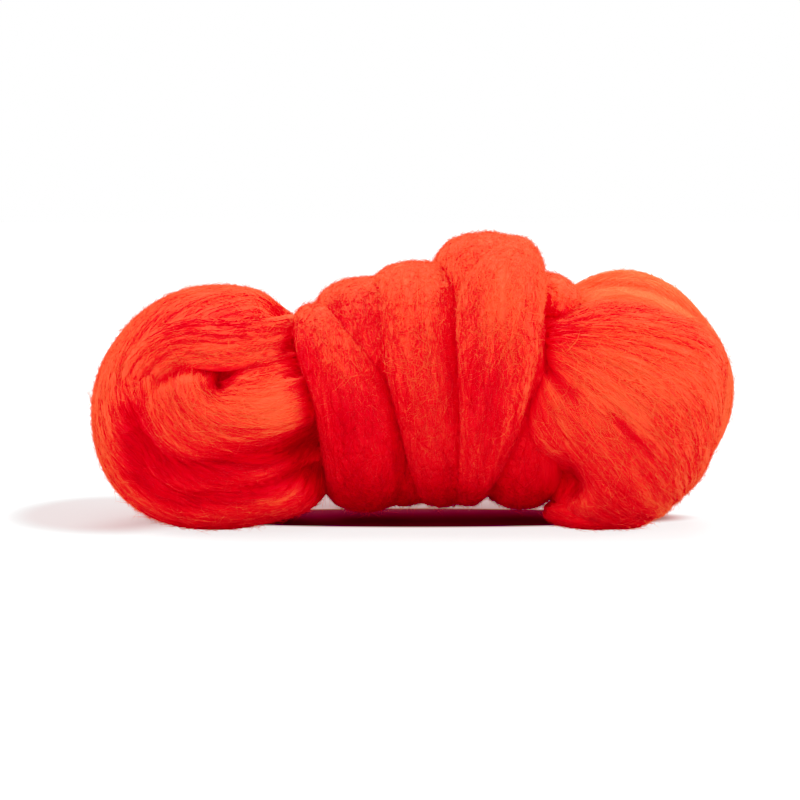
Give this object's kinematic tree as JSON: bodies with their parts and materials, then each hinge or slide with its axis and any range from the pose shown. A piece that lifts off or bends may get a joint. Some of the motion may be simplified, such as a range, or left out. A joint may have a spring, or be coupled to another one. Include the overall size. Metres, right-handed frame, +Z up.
{
  "type": "wound wool roving",
  "caption": "Bundle of combed wool roving, doubled into two end loops and wound round its own middle, for spinning or felting.",
  "frame": {"origin": "centre of the bounding box's base, on the surface that the roving lies on", "axes": "+X along the piece, from the loop with the hollow to the other loop; +Y to the back; +Z up"},
  "size_m": [0.221, 0.0882, 0.0998],
  "materials": {
    "red_wool": "soft combed wool in one strong orange red, matt with a faint sheen along its fibres and a thin halo of loose fibres"
  },
  "bodies": {
    "root": {"wound_roving": "red_wool"}
  },
  "joints": []
}
